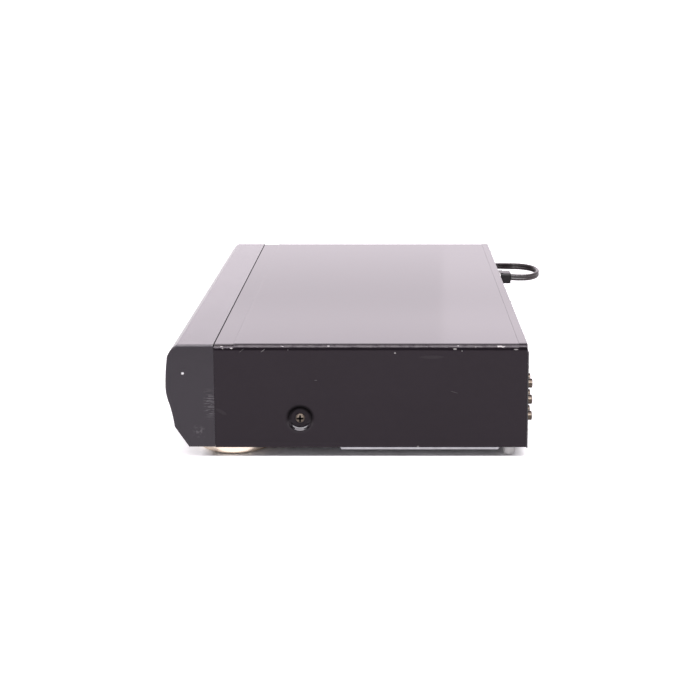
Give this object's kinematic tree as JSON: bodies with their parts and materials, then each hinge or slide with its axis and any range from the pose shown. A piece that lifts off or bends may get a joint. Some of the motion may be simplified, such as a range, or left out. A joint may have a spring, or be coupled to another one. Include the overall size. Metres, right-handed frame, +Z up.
{
  "type": "disc player",
  "caption": "Full-width disc player with front tray, transport keys, display window, rear phono sockets and coiled mains lead.",
  "frame": {"origin": "centre of the footprint on the surface the feet stand on, measured without the lead", "axes": "+X to the viewer's right when facing the front, front towards -Y, +Z up"},
  "size_m": [0.5486, 0.3675, 0.0999],
  "materials": {
    "cover_paint": "satin black paint on folded steel",
    "front_moulding": "fine-textured dark moulding",
    "window_tint": "smoked clear panel",
    "lens_red": "red lens",
    "key_plastic": "smooth dark moulding",
    "galvanised": "galvanised sheet",
    "rear_paint": "black painted sheet",
    "black_screw": "blackened steel",
    "foot_plastic": "black moulding",
    "champagne": "champagne metallised ring",
    "foot_rubber": "grey rubber",
    "loader_plastic": "dark grey moulding",
    "tray_plastic": "dark grey tray moulding",
    "gear_plastic": "white acetal",
    "motor_steel": "plated motor can",
    "belt_rubber": "black belt",
    "rod_steel": "ground steel",
    "platform": "black hub",
    "lens_glass": "pickup lens in its ring",
    "board_green": "green board with dark parts",
    "core_steel": "laminated core",
    "can_sleeve": "dark sleeve",
    "sink_alloy": "plain extrusion",
    "socket_black": "black socket block with plated barrels",
    "tube_glass": "glass tube",
    "cord_black": "black flexible sheath",
    "plug_black": "black moulded plug",
    "blade_brass": "plated blades"
  },
  "bodies": {
    "case": {"top_cover": "cover_paint", "front_panel": "front_moulding", "display_window": "window_tint", "standby_lens": "lens_red", "chassis_pan": "galvanised", "rear_panel": "rear_paint", "cover_side_screws": "black_screw", "cover_rear_screws": "black_screw", "rear_panel_screws": "black_screw", "foot_screws": "black_screw", "loader_frame": "loader_plastic", "loading_motor": "motor_steel", "drive_belt": "belt_rubber", "clamp_bridge": "galvanised", "power_board": "board_green", "transformer": "core_steel", "capacitors": "can_sleeve", "heat_sink": "sink_alloy", "main_board": "board_green", "av_board": "board_green", "phono_sockets": "socket_black", "video_sockets": "socket_black", "mains_inlet": "socket_black", "control_boards": "board_green", "display_board": "board_green", "display_tube": "tube_glass", "lead_connector": "plug_black", "mains_cord": "cord_black", "mains_cord_coil": "cord_black", "mains_cord_tail": "cord_black", "cord_tie": "cord_black", "plug_body": "plug_black", "plug_blades": "blade_brass", "front_foot_left": "foot_plastic", "foot_ring_left": "champagne", "rear_foot_left": "foot_rubber", "front_foot_right": "foot_plastic", "foot_ring_right": "champagne", "rear_foot_right": "foot_rubber"},
    "tray": {"disc_tray": "tray_plastic", "tray_door": "front_moulding"},
    "tray_drive": {"tray_gear": "gear_plastic"},
    "pulley": {"pulley_gear": "gear_plastic"},
    "motor_spindle": {"motor_pulley": "gear_plastic"},
    "cam": {"slide_cam": "gear_plastic"},
    "traverse": {"traverse_frame": "loader_plastic", "guide_rods": "rod_steel", "traverse_motors": "motor_steel"},
    "platter": {"turntable": "platform"},
    "sled": {"pickup_sled": "loader_plastic", "pickup_lens": "lens_glass"},
    "feed": {"feed_gear": "gear_plastic"},
    "clamp": {"clamper": "platform"},
    "power_key": {"power_button": "key_plastic"},
    "open_key": {"open_button": "key_plastic"},
    "play_key": {"play_button": "key_plastic"},
    "stop_key": {"stop_button": "key_plastic"},
    "pause_key": {"pause_button": "key_plastic"},
    "skip_back_key": {"skip_back_button": "key_plastic"},
    "skip_forward_key": {"skip_forward_button": "key_plastic"}
  },
  "joints": [
    {"name": "tray_slide", "type": "slide", "parent": "case", "child": "tray", "axis": [0, -1, 0], "range_m": [0, 0.142]},
    {"name": "tray_gear_turn", "type": "hinge", "parent": "case", "child": "tray_drive", "pos_m": [-0.0463, -0.126, 0.064], "axis": [0, 0, 1], "range_deg": [-2, 680]},
    {"name": "pulley_turn", "type": "hinge", "parent": "case", "child": "pulley", "pos_m": [-0.02818, -0.126, 0.062], "axis": [0, 0, 1], "range_deg": [-1358, 2]},
    {"name": "motor_turn", "type": "hinge", "parent": "case", "child": "motor_spindle", "pos_m": [0.026, -0.126, 0.06], "axis": [0, 0, 1], "range_deg": [-4614, 4]},
    {"name": "traverse_tilt", "type": "hinge", "parent": "case", "child": "traverse", "pos_m": [0, 0.008, 0.05], "axis": [1, 0, 0], "range_deg": [0, 4.2]},
    {"name": "cam_slide", "type": "slide", "parent": "case", "child": "cam", "axis": [1, 0, 0], "range_m": [-0.0002, 0.0142]},
    {"name": "disc_spin", "type": "hinge", "parent": "traverse", "child": "platter", "pos_m": [0, -0.085, 0.07], "axis": [0, 0, 1], "continuous": true},
    {"name": "sled_slide", "type": "slide", "parent": "traverse", "child": "sled", "axis": [0, 1, 0], "range_m": [0, 0.034]},
    {"name": "feed_turn", "type": "hinge", "parent": "traverse", "child": "feed", "pos_m": [0.0302, -0.036, 0.058], "axis": [0, 0, 1], "range_deg": [-327, 2]},
    {"name": "clamp_lift", "type": "slide", "parent": "case", "child": "clamp", "axis": [0, 0, 1], "range_m": [0, 0.001]},
    {"name": "power_press", "type": "slide", "parent": "case", "child": "power_key", "axis": [0, 1, 0], "range_m": [0, 0.001], "stiffness_N_per_m": 400, "springref_m": -0.001},
    {"name": "open_press", "type": "slide", "parent": "case", "child": "open_key", "axis": [0, 1, 0], "range_m": [0, 0.001], "stiffness_N_per_m": 400, "springref_m": -0.001},
    {"name": "play_press", "type": "slide", "parent": "case", "child": "play_key", "axis": [0, 1, 0], "range_m": [0, 0.001], "stiffness_N_per_m": 400, "springref_m": -0.001},
    {"name": "stop_press", "type": "slide", "parent": "case", "child": "stop_key", "axis": [0, 1, 0], "range_m": [0, 0.001], "stiffness_N_per_m": 400, "springref_m": -0.001},
    {"name": "pause_press", "type": "slide", "parent": "case", "child": "pause_key", "axis": [0, 1, 0], "range_m": [0, 0.001], "stiffness_N_per_m": 400, "springref_m": -0.001},
    {"name": "skip_back_press", "type": "slide", "parent": "case", "child": "skip_back_key", "axis": [0, 1, 0], "range_m": [0, 0.001], "stiffness_N_per_m": 400, "springref_m": -0.001},
    {"name": "skip_forward_press", "type": "slide", "parent": "case", "child": "skip_forward_key", "axis": [0, 1, 0], "range_m": [0, 0.001], "stiffness_N_per_m": 400, "springref_m": -0.001}
  ],
  "couplings": [
    {"joint": "tray_gear_turn", "follows": "tray_slide", "rad_per_m": 83.333},
    {"joint": "pulley_turn", "follows": "tray_slide", "rad_per_m": -166.67},
    {"joint": "motor_turn", "follows": "tray_slide", "rad_per_m": -566.67},
    {"joint": "cam_slide", "follows": "traverse_tilt", "m_per_rad": 0.19099},
    {"joint": "feed_turn", "follows": "sled_slide", "rad_per_m": -166.67}
  ]
}
